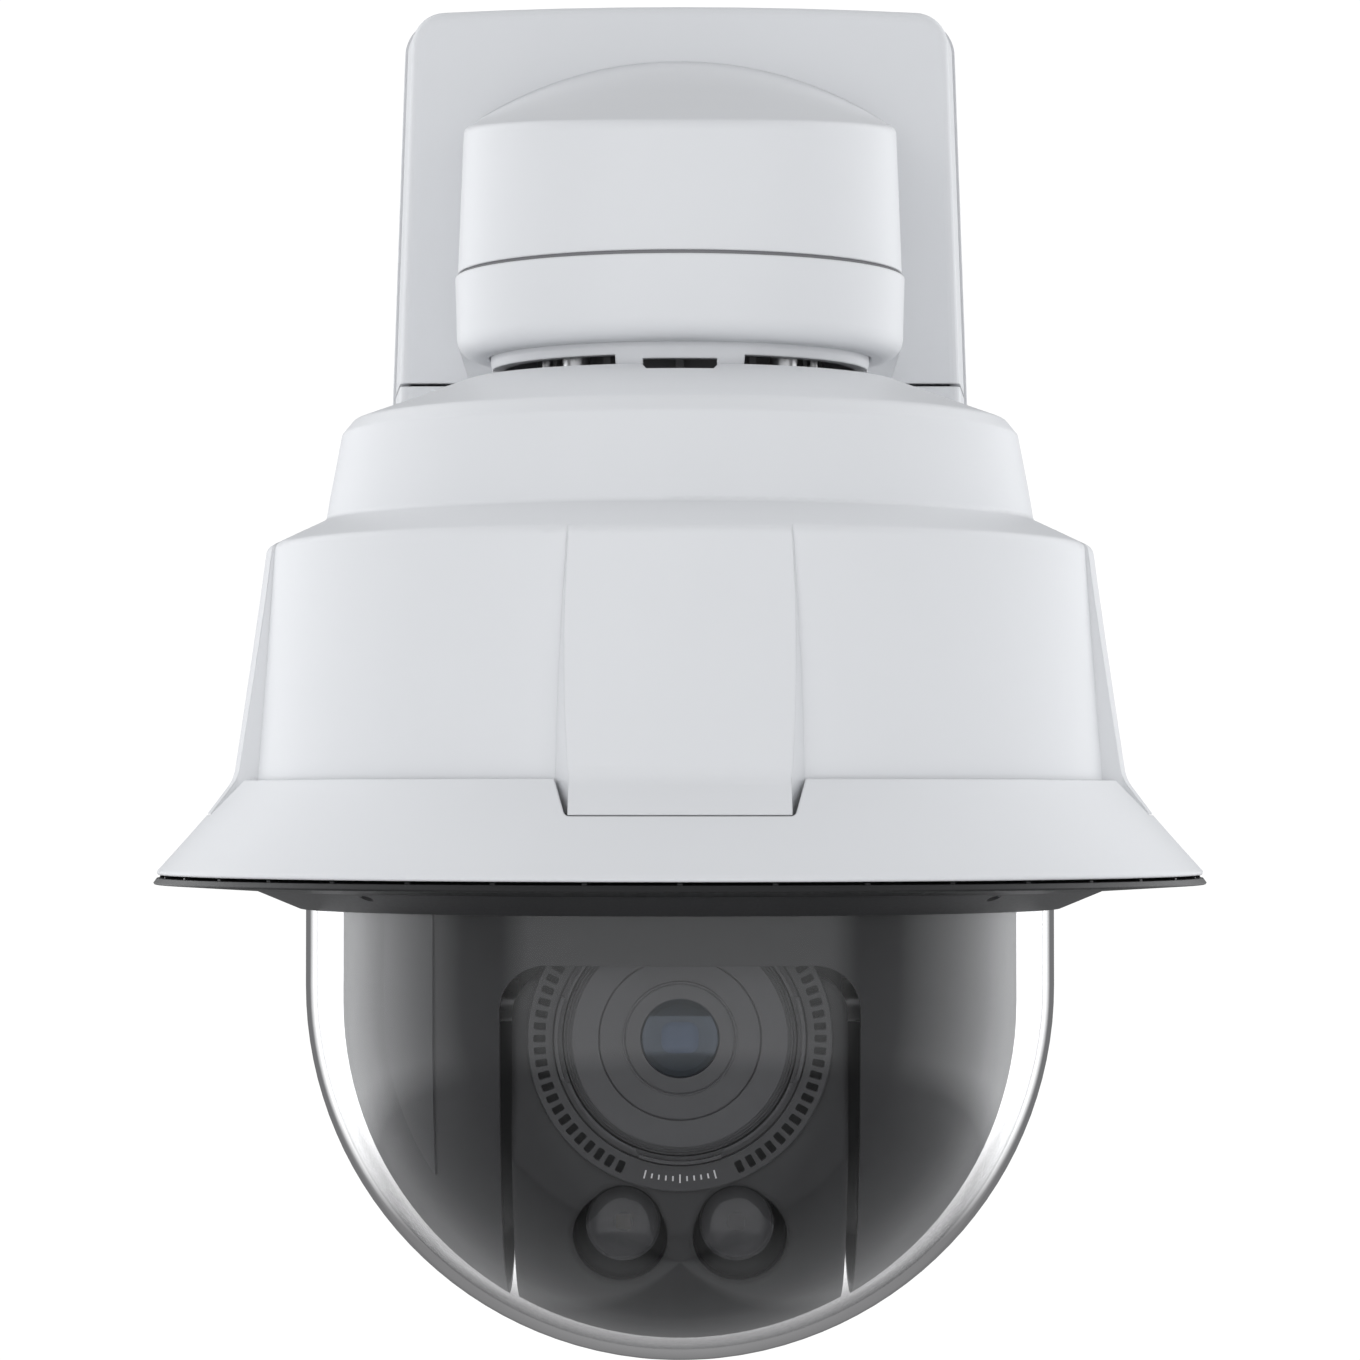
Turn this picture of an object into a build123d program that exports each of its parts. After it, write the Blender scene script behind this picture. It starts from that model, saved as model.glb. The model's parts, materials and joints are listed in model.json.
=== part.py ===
from build123d import *
import os
from math import acos, cos, pi, radians, sin, sqrt, tan

# All sizes in millimetres. Origin: centre of the wall bolt pattern, on the wall plane.
# The wall is at +Y, the camera hangs in front of it at -Y, +Z is up.

# Driving dimensions
REACH = 185.0            # wall plane to the camera's vertical axis
BOX_DEPTH = 45.0         # wall box, wall plane to front face
TRAY_DEPTH = 8.0         # back tray that the covers close onto
BOX_TOP = 94.0           # height of the box's upper corners at its front face
BOX_CROWN = 2.0          # extra height at the middle of the crowned top
BOX_BOTTOM = -88.0
BOX_SEAM = -6.5          # joint line between upper and lower cover
BOX_HALF_WIDTH = 75.4    # front face half width at the seam
BOX_TAPER = 0.0336       # sides lean in by this much per mm of height
BOX_DRAFT = 4.2          # outline grows by this much from front face to wall
BOX_EDGE = 2.5           # rounding of the front edges of both covers
WALL = 3.0               # wall of the castings
SEAM_GAP = 0.8
BOLT_X = 110.0
BOLT_Z = 130.0
BOLT_HOLE_R = 3.3
CABLE_HOLE_R = 15.0

HEAD_R = 53.7            # head of the bracket at its seam
HEAD_SEAM = 6.5
HEAD_FRONT_TOP = 36.2    # height of the head's top edge at its front
HEAD_BOTTOM = -13.5
ARM_HALF_WIDTH = 57.1    # arm where it meets the box
ARM_BOTTOM = -6.4
ARCH_TOP = 81.0          # top of the arch where the arm meets the box
ARCH_R = 95.0
FRONT_ARCH_R = 800.0

TOP_EDGE = -19.1         # top edge of the camera cover
DECK_Z = -25.2           # top of the casting that carries the camera
POST_R = 55.5            # circle of the frame posts
TRIM_R = 124.8
TRIM_TOP = -136.9
TRIM_INNER_R = 101.2
RIBS = 38

DOME_Z = -162.2          # centre of the dome
BALL_Z = -166.3          # centre of the pan shell, and height of the tilt axis
DOME_R = 88.9
DOME_WALL = 2.5
SHELL_R = 80.0
SHELL_WALL = 2.0
SLOT_HALF_WIDTH = 40.3
SLOT_TOP = -155.5
SLOT_CORNER_R = 10.5
SLOT_BACK_TOP = -160.0   # the slot runs under the shell and up its back to here
TILT_R = 79.6            # belly of the tilt housing, which fills the slot
TILT_REAR_R = 76.9       # the rest of it, which runs inside the shell
TILT_HALF_WIDTH = 37.8
LENS_DROP = 5.9          # lens axis below the tilt axis
FACE = 61.8              # flat lens face in front of the tilt axis
FACE_TOP = 8.0           # top edge of the flat face above the tilt axis
FACE_CORNER_R = 8.5
SHOULDER = 22.0          # level, in front of the tilt axis, of what lies above the flat face
BEZEL_R = 34.3
BEZEL_SLOT_R = 31.6      # circle of the slots in the bezel
BARREL_R = 23.4          # inside of the lens barrel
LAMP_X = 12.8            # lamps either side of the middle
LAMP_UP = -47.8          # lamps below the tilt axis
LAMP_BACK = 50.0         # seat of the lamps in front of the tilt axis
LAMP_R = 8.8
RECESS_X = 13.5          # round recesses around the lamps, a little lower and further out
RECESS_UP = -50.7
RECESS_BACK = 42.0
RECESS_R = 10.7

TURNTABLE_Z = -110.0     # underside of the turntable
CHASSIS_Z = -99.0        # underside of the chassis plate
RUNNING = 0.05           # radial clearance of a running fit

PAN_MODULE = 1.25
PAN_TEETH = 96
PAN_PINION_TEETH = 16
PAN_PINION_ANGLE = 235.0
TILT_MODULE = 1.0
TILT_TEETH = 40
TILT_PINION_TEETH = 12

BASE = (Align.CENTER, Align.CENTER, Align.MIN)
CORNER = (Align.MIN, Align.MIN, Align.MIN)
REARWARD = (Align.CENTER, Align.CENTER, Align.MAX)
CAMERA = Pos(0, -REACH, 0)
FORWARD = Plane(origin=(0, -REACH, BALL_Z), x_dir=(1, 0, 0), z_dir=(0, -1, 0))
LENS = Plane(origin=(0, -REACH, BALL_Z - LENS_DROP), x_dir=(1, 0, 0), z_dir=(0, -1, 0))
TILT_AXIS = Plane(origin=(0, -REACH, BALL_Z), x_dir=(0, 1, 0), z_dir=(1, 0, 0))

os.makedirs("parts", exist_ok=True)


def save(name, shape):
    solids = shape if isinstance(shape, list) else shape.solids()
    label = solids[0] if len(solids) == 1 else Compound(children=list(solids))
    export_step(label, f"parts/{name}.step")


def tube(outer, inner, low, high):
    """Round bar or ring about the Z axis between two heights."""
    body = Pos(0, 0, low) * Cylinder(outer, high - low, align=BASE)
    if inner > 0:
        body -= Pos(0, 0, low - 1) * Cylinder(inner, high - low + 2, align=BASE)
    return body


def turned(corners):
    """Solid of revolution from (radius, height) or (radius, height, rounding) corners."""
    points = [(corner[0], corner[1]) for corner in corners]
    roundings = [corner[2] if len(corner) > 2 else 0 for corner in corners]
    outline = Plane.XZ * make_face(FilletPolyline(*points, radius=roundings, close=True))
    return revolve(outline, Axis.Z)


def around(angles, radius, piece):
    """Copies of a piece at the given angles on a circle about the Z axis."""
    return [Rot(0, 0, angle) * Pos(radius, 0, 0) * piece for angle in angles]


def gear(teeth, module, thickness, bore, backlash=0.2):
    """Involute spur gear about the Z axis with a tooth centred on +X."""
    pitch_r = module * teeth / 2
    pressure = radians(20)
    base_r = pitch_r * cos(pressure)
    tip_r = pitch_r + 0.95 * module
    root_r = pitch_r - 1.25 * module
    half = pi / 2 / teeth - backlash / 2 / pitch_r + tan(pressure) - pressure
    flank = []
    for step in range(4):
        radius = max(base_r, root_r) + (tip_r - max(base_r, root_r)) * step / 3
        roll = acos(min(1, base_r / radius))
        flank.append((radius, half - tan(roll) + roll))
    flank.insert(0, (root_r, flank[0][1] * 1.05))
    points = []
    for tooth in range(teeth):
        middle = 2 * pi * tooth / teeth
        side = [(r, middle - a) for r, a in flank] + [(r, middle + a) for r, a in reversed(flank)]
        points += [(r * cos(a), r * sin(a)) for r, a in side]
    body = extrude(make_face(Polyline(*points, close=True)), thickness)
    return body - tube(bore, 0, -1, thickness + 1)


# Wall box and arm

def box_outline(y, bottom, top_corner, inset):
    """Outline of the wall box at distance y in front of the wall, as a face in XZ."""
    grow = BOX_DRAFT * (BOX_DEPTH + y) / BOX_DEPTH - inset
    top = BOX_TOP + grow if top_corner is None else top_corner
    low_half = BOX_HALF_WIDTH - BOX_TAPER * (bottom - BOX_SEAM) + grow
    top_half = BOX_HALF_WIDTH - BOX_TAPER * (top - BOX_SEAM) + grow
    left = Line((-top_half, top), (-low_half, bottom))
    floor = Line((-low_half, bottom), (low_half, bottom))
    right = Line((low_half, bottom), (top_half, top))
    crown = BOX_CROWN if top_corner is None else 0.01
    roof = ThreePointArc((top_half, top), (0, top + crown), (-top_half, top))
    plane = Plane(origin=(0, y, 0), x_dir=(1, 0, 0), z_dir=(0, -1, 0))
    face = make_face([left, floor, right, roof])
    if top_corner is None:
        face = fillet(face.vertices().sort_by(Axis.Y)[-2:], 9 - inset)
    if bottom < BOX_SEAM - 20:
        face = fillet(face.vertices().sort_by(Axis.Y)[:2], 9 - inset)
    return plane * face


def box_block(front, back, bottom, top_corner, inset):
    return loft([box_outline(front, bottom, top_corner, inset),
                 box_outline(back, bottom, top_corner, inset)], ruled=True)


def rounded_block(bottom, top_corner):
    """Block between tray and front face with rounded front edges, open to its neighbour at the seam."""
    sections = []
    for turn in (0, 22.5, 45, 67.5, 90):
        inset = BOX_EDGE * (1 - sin(radians(turn)))
        lift = inset if bottom == BOX_BOTTOM else 0
        y = -BOX_DEPTH + BOX_EDGE * (1 - cos(radians(turn)))
        sections.append(box_outline(y, bottom + lift, top_corner, inset))
    sections.append(box_outline(-TRAY_DEPTH, bottom, top_corner, 0))
    return loft(sections, ruled=True)


def arm_plan(inset, low, high, back):
    """Plan shape of head and arm, drawn in slightly towards its top."""
    radius = HEAD_R - inset
    side = radius - 0.5
    reach = sqrt(radius ** 2 - side ** 2)
    half = ARM_HALF_WIDTH - inset
    nose = ThreePointArc((-side, -REACH + reach), (0, -REACH - radius), (side, -REACH + reach))
    right = Line((side, -REACH + reach), (half, back))
    rear = Line((half, back), (-half, back))
    left = Line((-half, back), (-side, -REACH + reach))
    face = Pos(0, 0, low) * make_face([nose, right, rear, left])
    return extrude(face, high - low, taper=2.2)


def arm_roof(inset, low):
    """Block whose top runs straight from the flat front edge of the head up to the arch."""
    sections = []
    slope = (ARCH_TOP - HEAD_FRONT_TOP) / (REACH + HEAD_R - BOX_DEPTH)
    for y, arch in ((-BOX_DEPTH + 20, ARCH_R), (-REACH - HEAD_R - 8, FRONT_ARCH_R)):
        top = ARCH_TOP + slope * (y + BOX_DEPTH) - inset
        half = 72.0
        drop = arch - sqrt(arch ** 2 - half ** 2)
        plane = Plane(origin=(0, y, 0), x_dir=(1, 0, 0), z_dir=(0, -1, 0))
        roof = ThreePointArc((-half, top - drop), (0, top), (half, top - drop))
        right = Line((half, top - drop), (half, low))
        floor = Line((half, low), (-half, low))
        left = Line((-half, low), (-half, top - drop))
        sections.append(plane * make_face([roof, right, floor, left]))
    return loft(sections, ruled=True)


def bracket_casting():
    arm = arm_plan(0, ARM_BOTTOM - 3.6, 100, -BOX_DEPTH + 12) & arm_roof(0, -60)
    top_edges = [e for e in arm.edges()
                 if e.center().Z > 20 and e.center().Y < -BOX_DEPTH and e.length > 20]
    arm = fillet(top_edges, 2.5)
    arm -= Pos(0, 0, HEAD_SEAM - 40 + 0.3) * CAMERA * Cylinder(HEAD_R + 0.5, 40, align=BASE)
    slope_cut = Plane(origin=(0, -REACH, -10), x_dir=(1, 0, 0), z_dir=(0, 0.026, -1))
    arm -= slope_cut * Box(400, 400, 30, align=BASE)
    hollow = arm_plan(4, ARM_BOTTOM, 100, -BOX_DEPTH + 16) & arm_roof(4, -60)
    ceiling = CAMERA * tube(HEAD_R - 4, 0, -30, 20)
    box = rounded_block(BOX_SEAM + SEAM_GAP / 2, None)
    inside = box_block(-BOX_DEPTH + WALL, 0, BOX_SEAM - 5, None, WALL)
    return box + arm - inside - hollow - ceiling


def screw_points(half_x, heights):
    return [(x, z) for x in (-half_x, half_x) for z in heights]


def wall_bracket():
    save("bracket_casting", bracket_casting())
    lower = rounded_block(BOX_BOTTOM, BOX_SEAM - SEAM_GAP / 2)
    lower -= box_block(-BOX_DEPTH + WALL, 0, BOX_BOTTOM + WALL, BOX_SEAM + 5, WALL)
    lower -= Pos(0, -26, BOX_BOTTOM - 5) * Cylinder(10, 20, align=BASE)
    lower -= CAMERA * Pos(0, 0, -60) * Cylinder(50, 10, align=BASE)
    save("wall_box_lower", lower)
    plug = Pos(0, -26, BOX_BOTTOM - 3) * Cylinder(13, 3, align=BASE)
    plug += Pos(0, -26, BOX_BOTTOM) * Cylinder(10, 6, align=BASE)
    plug -= Pos(0, -26, BOX_BOTTOM - 4) * Box(12, 2.4, 3, align=BASE)
    save("conduit_plug", plug)
    tray = box_block(-TRAY_DEPTH + 0.6, 0, BOX_BOTTOM - 0.6, None, -0.6)
    tray -= box_block(-TRAY_DEPTH - 1, -3, BOX_BOTTOM + WALL, None, WALL + 1)
    for x, z in screw_points(BOLT_X / 2, (-BOLT_Z / 2, BOLT_Z / 2)):
        tray -= Plane(origin=(x, 1, z), z_dir=(0, -1, 0)) * Cylinder(BOLT_HOLE_R, 6, align=BASE)
    tray -= Plane(origin=(0, 1, 0), z_dir=(0, -1, 0)) * Cylinder(CABLE_HOLE_R, 6, align=BASE)
    save("wall_back_tray", tray)
    grommet = Plane(origin=(0, -3, 0), z_dir=(0, -1, 0)) * tube(19, 9, 0, 3)
    save("cable_grommet", grommet)
    screws = []
    for x, z in screw_points(62, (-74, 78)):
        screws.append(Plane(origin=(x, -3, z), z_dir=(0, -1, 0)) * tube(4.5, 0, 0, 4))
    save("bracket_bolts", screws)


def window_sector(start, end):
    """Wedge of space between two angles from the front, on the right-hand side."""
    ray = 70.0
    corners = [(0, 0)]
    for angle in (start, (start + end) / 2, end):
        corners.append((ray * sin(radians(angle)), -ray * cos(radians(angle))))
    return Pos(0, 0, -40) * extrude(make_face(Polyline(*corners, close=True)), 40)


def head():
    ring = turned([(HEAD_R, HEAD_SEAM - 0.6), (53.2, HEAD_BOTTOM, 5), (45.6, HEAD_BOTTOM, 0.5),
                   (45.6, -8), (20, -8), (20, -4), (49.5, -4), (49.5, HEAD_SEAM - 0.6)])
    save("head_ring", CAMERA * ring)
    save("head_gasket", CAMERA * tube(52.7, 49.8, HEAD_SEAM - 0.6, HEAD_SEAM + 0.3))
    adapter = turned([(45.2, -8), (45.2, -14.5), (44.2, TOP_EDGE + 0.1), (41.6, TOP_EDGE + 0.1),
                      (41.6, -11), (20, -11), (20, -8)])
    window = tube(50, 38, TOP_EDGE - 1, -16.2) & window_sector(19.5, 84)
    for angle in (0, 180):
        adapter -= Rot(0, 0, angle) * window
        adapter -= Rot(0, 0, angle) * mirror(window, Plane.YZ)
    adapter -= Pos(0, -43, TOP_EDGE - 1) * Box(17, 8, 2.9, align=BASE)
    save("mount_adapter", CAMERA * adapter)
    core = tube(30, 24.2, DECK_Z, -11)
    for rib in range(12):
        core += Rot(0, 0, 30 * rib) * Pos(29, -1, DECK_Z) * Box(5, 2, -11 - DECK_Z, align=CORNER)
    save("adapter_core", CAMERA * core)
    screw_angles = (50, 130, 230, 310)
    pin_angles = (33, 147, 213, 327)
    screws = around(screw_angles, 37.5, tube(3.2, 0, DECK_Z, -11))
    screws += around(pin_angles, 37, tube(1.3, 0, DECK_Z, -11))
    save("adapter_screws", [CAMERA * s for s in screws])
    gland = tube(19.9, 8, -8, 2) + tube(16, 8, 2, 10)
    save("cable_gland", CAMERA * gland)


# Camera body

def raised_panel():
    """Tapered pad on the front of the cover, widening and flaring out towards its foot."""
    sections = []
    for y, top_half, low_half in ((-120, 23.2, 24.2), (-103.4, 23.2, 24.2), (-88, 24.8, 33.2)):
        plane = Plane(origin=(0, y, 0), x_dir=(1, 0, 0), z_dir=(0, -1, 0))
        outline = Polyline((-top_half, -54), (top_half, -54), (low_half, -116),
                           (low_half, -122), (-low_half, -122), (-low_half, -116), close=True)
        sections.append(plane * make_face(outline))
    pad = loft(sections, ruled=True)
    flare = turned([(90, -55.1), (98.3, -59.1, 2.4), (99.9, -71.2), (106.0, -113.6, 9), (112.0, -121.6),
                    (112.0, -122), (90, -122)])
    return pad & flare


def top_cover():
    outer = turned([(45, TOP_EDGE), (52, TOP_EDGE), (68.1, -25.1), (77.8, -28.6, 2.6),
                    (80.6, -32.0, 1.5), (83.5, -47.4), (84.3, -52.4, 1.5), (97.7, -58.8, 2.6),
                    (102.1, -116), (102.1, -121), (45, -121)])
    for angle in range(0, 360, 90):
        outer += Rot(0, 0, angle) * raised_panel()
    hollow = turned([(40, -22), (52, -22), (75, -30.5), (78, -34), (81, -49), (82, -54),
                     (93, -60), (95.3, -71.2), (99.4, -116), (99.4, -130), (40, -130)])
    cover = outer - hollow
    notch = loft([Pos(0, -52, TOP_EDGE - 1.5) * Rectangle(15.4, 18),
                  Pos(0, -52, TOP_EDGE + 0.5) * Rectangle(18.2, 18)], ruled=True)
    save("top_cover", CAMERA * (cover - notch))


def weather_brim():
    shield = turned([(102.6, -114.3), (104.9, -114.0, 0.5), (112.4, -122.3), (124.2, -135.6, 0.6),
                     (123.6, -136.2, 0.4), (121.6, -135.6), (113.9, -127.0), (109.5, -122.6)])
    shield += tube(118.6, 97.1, -132, -130)
    for angle in range(0, 360, 90):
        cut = Plane(origin=(0, -90, 0), x_dir=(1, 0, 0), z_dir=(0, -1, 0)) * make_face(
            Polyline((-24.8, -122.2), (24.8, -122.2), (27.9, -112), (-27.9, -112), close=True))
        cut = fillet(cut.vertices().sort_by(Axis.Z)[:2], 1.3)
        shield -= Rot(0, 0, angle) * extrude(cut, 40)
    screw_holes = around(range(45, 360, 90), 99.3, tube(1.2, 0, -135, -128))
    for hole in screw_holes:
        shield -= hole
    save("weather_brim", CAMERA * shield)
    screw = tube(2.0, 0, -130, -128.5) + tube(1.15, 0, -132, -130)
    save("brim_screws", [CAMERA * s for s in around(range(45, 360, 90), 99.3, screw)])


def dome_parts():
    trim = turned([(TRIM_INNER_R, -139.8), (124.6, -138.4, 0.3), (TRIM_R, -138.0),
                   (124.0, TRIM_TOP), (98, TRIM_TOP + 1.9), (98, -137), (TRIM_INNER_R, -137)])
    rib = Pos(0, 0, TRIM_TOP - 0.4) * Box(2.2, 1.2, 0.9, align=BASE)
    for piece in around([270 + 360 * k / RIBS for k in range(RIBS)], 122.2, rib):
        trim += piece
    holder = turned([(89.2, -144.2), (90.4, -144.2, 0.5), (101, -139.8), (101, -137),
                     (96.6, -137), (96.6, -140), (89.2, -140)])
    for hole in around(range(45, 360, 90), 98.9, tube(1.6, 0, -146, -130)):
        holder -= hole
    for hole in around(range(45, 360, 90), 98.9, tube(1.3, 0, -146, -130)):
        trim -= hole
    save("trim_ring", CAMERA * trim)
    save("dome_retaining_ring", CAMERA * holder)
    screw = tube(1.55, 0, -140.3, -138.2) + tube(1.2, 0, -138.2, -135)
    save("dome_screws", [CAMERA * s for s in around(range(45, 360, 90), 98.9, screw)])
    inner = DOME_R - DOME_WALL
    dome = Pos(0, 0, DOME_Z) * (Sphere(DOME_R) - Sphere(inner))
    dome -= Pos(0, 0, DOME_Z) * Cylinder(100, 100, align=BASE)
    dome += tube(DOME_R, inner, DOME_Z, -137.5) + tube(96.3, inner, -139.9, -137.5)
    save("clear_dome", CAMERA * dome)
    save("dome_seal", CAMERA * tube(96.3, 90, -137.5, -135))
    base = turned([(94, CHASSIS_Z), (97, CHASSIS_Z), (97, -132), (101.2, -132), (101.2, -135),
                   (90, -135), (90, -132), (94, -132)])
    save("base_ring", CAMERA * base)


def pinion_place(angle, distance):
    return Pos(distance * cos(radians(angle)), distance * sin(radians(angle)), 0)


PAN_DISTANCE = PAN_MODULE * (PAN_TEETH + PAN_PINION_TEETH) / 2
PAN_MOTOR = pinion_place(PAN_PINION_ANGLE, PAN_DISTANCE)
FAN_ANGLE = 60.0
FAN_PLACE = pinion_place(FAN_ANGLE, 71.5) * Rot(0, 0, FAN_ANGLE)
BUTTON_PLACE = pinion_place(80, 44)


def camera_frame():
    save("top_casting", CAMERA * tube(60, 24.2, DECK_Z - 4, DECK_Z))
    plate = tube(97, 45, CHASSIS_Z, CHASSIS_Z + 4) - PAN_MOTOR * tube(5, 0, -120, -80)
    save("chassis_plate", CAMERA * plate)
    post = tube(3.5, 0, CHASSIS_Z + 4, DECK_Z - 4)
    post_angles = (15, 105, 195, 285)
    save("frame_posts", [CAMERA * p for p in around(post_angles, POST_R, post)])
    board = tube(62, 10, -60, -58.4)
    for hole in around(post_angles, POST_R, tube(3.5, 0, -62, -56)):
        board -= hole
    save("main_board", CAMERA * board)
    sink = Pos(-18, 8, -58.4) * Box(40, 36, 3, align=BASE)
    for fin in range(8):
        sink += Pos(-36 + fin * 5.2, 8, -55.4) * Box(1.6, 36, 11, align=BASE)
    save("heat_sink", CAMERA * sink)
    socket = Pos(26, -20, -58.4) * Box(17, 22, 14, align=BASE)
    socket -= Pos(26, -32, -55.4) * Box(12.5, 20, 9, align=BASE)
    save("network_socket", CAMERA * socket)
    motor = PAN_MOTOR * (tube(17, 0, CHASSIS_Z + 4, CHASSIS_Z + 28)
                         - tube(2 + RUNNING, 0, CHASSIS_Z, CHASSIS_Z + 15))
    save("pan_motor", CAMERA * motor)
    stator = tube(49, 46, CHASSIS_Z + 4, -86) + tube(49, 8.2, -88, -86) + tube(11, 8.2, -106, -86)
    save("slip_ring_stator", CAMERA * stator)
    frame = Box(40, 40, 14, align=BASE) - Pos(0, 0, 2) * Cylinder(18.5, 20, align=BASE)
    frame -= Pos(0, 0, -1) * Cylinder(3 + RUNNING, 20, align=BASE)
    for arm_angle in (45, 135, 225, 315):
        slot = Rot(0, 0, arm_angle) * Pos(12.4, 0, -1) * Box(8.5, 9, 4, align=BASE)
        frame -= slot
    save("fan_frame", CAMERA * FAN_PLACE * Pos(0, 0, CHASSIS_Z + 7) * frame)
    feet = [Pos(x, y, CHASSIS_Z + 4) * Cylinder(2.5, 3, align=BASE)
            for x in (-17, 17) for y in (-17, 17)]
    save("fan_feet", [CAMERA * FAN_PLACE * foot for foot in feet])
    rotor = Pos(0, 0, 3) * Cylinder(8, 10, align=BASE)
    rotor += Pos(0, 0, -2) * Cylinder(3, 5, align=BASE)
    for blade in range(7):
        rotor += Rot(0, 0, blade * 360 / 7) * Pos(12, 0, 8) * Rot(35, 0, 0) * Box(11, 9, 1.2)
    save("fan_rotor", CAMERA * FAN_PLACE * Pos(0, 0, CHASSIS_Z + 7) * rotor)
    block = Box(10, 10, 5, align=BASE) - Pos(0, 0, 1) * Cylinder(2.5, 6, align=BASE)
    save("button_block", CAMERA * BUTTON_PLACE * Pos(0, 0, -58.4) * block)
    button = Pos(0, 0, -56.4) * Cylinder(2.5 - RUNNING, 5, align=BASE)
    save("control_button", CAMERA * BUTTON_PLACE * button)


# Pan drive and pan unit

def bearing():
    groove = Pos(0, 0, -99.5) * Torus(37, 3.08)
    save("pan_bearing_outer", CAMERA * (tube(45, 38.4, -104, -95) - groove))
    save("pan_bearing_inner", CAMERA * (tube(35.6, 29, -104, -95) - groove))
    balls = around([k * 18 for k in range(20)], 37, Pos(0, 0, -99.5) * Sphere(3.0))
    save("bearing_balls", [CAMERA * ball for ball in balls])


def pan_unit():
    table = tube(79.5, 12, TURNTABLE_Z, TURNTABLE_Z + 3) + tube(29, 12, TURNTABLE_Z, -95)
    table += tube(33, 12, TURNTABLE_Z, -104)
    save("turntable", CAMERA * table)
    ring_gear = gear(PAN_TEETH, PAN_MODULE, 6, 50)
    ring_gear = Rot(0, 0, PAN_PINION_ANGLE) * Pos(0, 0, TURNTABLE_Z + 3) * ring_gear
    save("pan_gear", CAMERA * ring_gear)
    pinion_turn = PAN_PINION_ANGLE + 180 + 180 / PAN_PINION_TEETH
    pinion = Rot(0, 0, pinion_turn) * gear(PAN_PINION_TEETH, PAN_MODULE, 6, 2)
    shaft = tube(2, 0, TURNTABLE_Z + 3.5, CHASSIS_Z + 14)
    body = PAN_MOTOR * (Pos(0, 0, TURNTABLE_Z + 3.5) * pinion + shaft)
    save("pan_pinion", CAMERA * body)
    rotor = tube(8, 4, -112, -90) + tube(12, 4, -112, TURNTABLE_Z)
    save("slip_ring_rotor", CAMERA * rotor)
    save("pan_shell", CAMERA * pan_shell())
    save("yoke", CAMERA * yoke())
    rings = [Pos(0, 0, x) * tube(9, 5, -2.5, 2.5) for x in (-47, 47)]
    save("tilt_bearings", [TILT_AXIS * ring for ring in rings])
    motor = Pos(0, 26, 56.6) * (Cylinder(10, 14, align=BASE)
                                - Cylinder(2 + RUNNING, 6, align=BASE))
    save("tilt_motor", FORWARD * Rot(0, 90, 0) * motor)


def slot_outline(top):
    """Outline of the shell's slot, seen from the front, with its upper edge at the given height."""
    front = Plane(origin=(0, 0, 0), x_dir=(1, 0, 0), z_dir=(0, -1, 0))
    outline = front * Pos(0, -205) * Rectangle(2 * SLOT_HALF_WIDTH, 2 * (205 + top))
    return fillet(outline.vertices().sort_by(Axis.Z)[-2:], SLOT_CORNER_R)


def pan_shell():
    inner = SHELL_R - SHELL_WALL
    shell = Pos(0, 0, BALL_Z) * (Sphere(SHELL_R) - Sphere(inner))
    shell -= Pos(0, 0, BALL_Z) * Cylinder(100, 100, align=BASE)
    shell += tube(SHELL_R, inner, BALL_Z, TURNTABLE_Z)
    shell += tube(SHELL_R, 74, TURNTABLE_Z - 3, TURNTABLE_Z)
    shell -= extrude(slot_outline(SLOT_TOP), 100)
    shell -= extrude(slot_outline(SLOT_BACK_TOP), -100)
    return shell


def yoke():
    plate = tube(70, 13, TURNTABLE_Z - 3, TURNTABLE_Z)
    plate &= Pos(0, 0, TURNTABLE_Z - 10) * Box(140, 40, 20, align=BASE)
    for x in (-47, 47):
        plate += Pos(x, 0, BALL_Z) * Box(4, 36, TURNTABLE_Z - 1 - BALL_Z, align=BASE)
        plate += Pos(x, 0, BALL_Z) * Rot(0, 90, 0) * Cylinder(18, 4)
        plate -= Pos(x, 0, BALL_Z) * Rot(0, 90, 0) * Cylinder(9, 6)
    plate += Pos(55.6, 0, BALL_Z + 14) * Box(2, 28, TURNTABLE_Z - 1 - BALL_Z - 14, align=BASE)
    plate -= Pos(55.6, 0, BALL_Z + 26) * Rot(0, 90, 0) * Cylinder(4, 6)
    return plate


# Tilt unit, in a plane whose Z points forward out of the lens

def side_profile():
    """Side view of the tilt unit about its axis: flat lens face, round belly, cut-off back."""
    belly = [(92 * cos(radians(a)), 92 * sin(radians(a))) for a in range(-58, -118, -12)]
    corners = [(FACE, 31), (FACE, -80)] + belly
    corners += [(-37, -62), (-44, -10), (-30, 38), (20, 44), (48, 42)]
    plane = Plane(origin=(0, -REACH, BALL_Z), x_dir=(0, -1, 0), z_dir=(-1, 0, 0))
    outline = plane * make_face(Polyline(*corners, close=True))
    return extrude(outline, TILT_HALF_WIDTH, both=True)


def tilt_ball(radius, half_width):
    ball = Pos(0, -REACH, BALL_Z) * Sphere(radius)
    return ball & (Pos(0, -REACH, BALL_Z) * Box(2 * half_width, 200, 200))


def lens_bore(radius, low, high):
    return LENS * tube(radius, 0, low, high)


def face_shoulders():
    """What is cut away beside and above the round-cornered top of the flat face, around the lens."""
    middle = FACE_TOP - 40
    face = fillet(Rectangle(2 * TILT_HALF_WIDTH, 80).vertices().sort_by(Axis.Y)[-2:], FACE_CORNER_R)
    around_face = Pos(0, FACE_TOP - FACE_CORNER_R - 1 + 45) * Rectangle(2 * TILT_HALF_WIDTH + 10, 90)
    cut = extrude(around_face - Pos(0, middle) * face, TILT_R)
    return FORWARD * Pos(0, 0, SHOULDER) * cut - lens_bore(BEZEL_R - 0.3, 0, 100)


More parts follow.
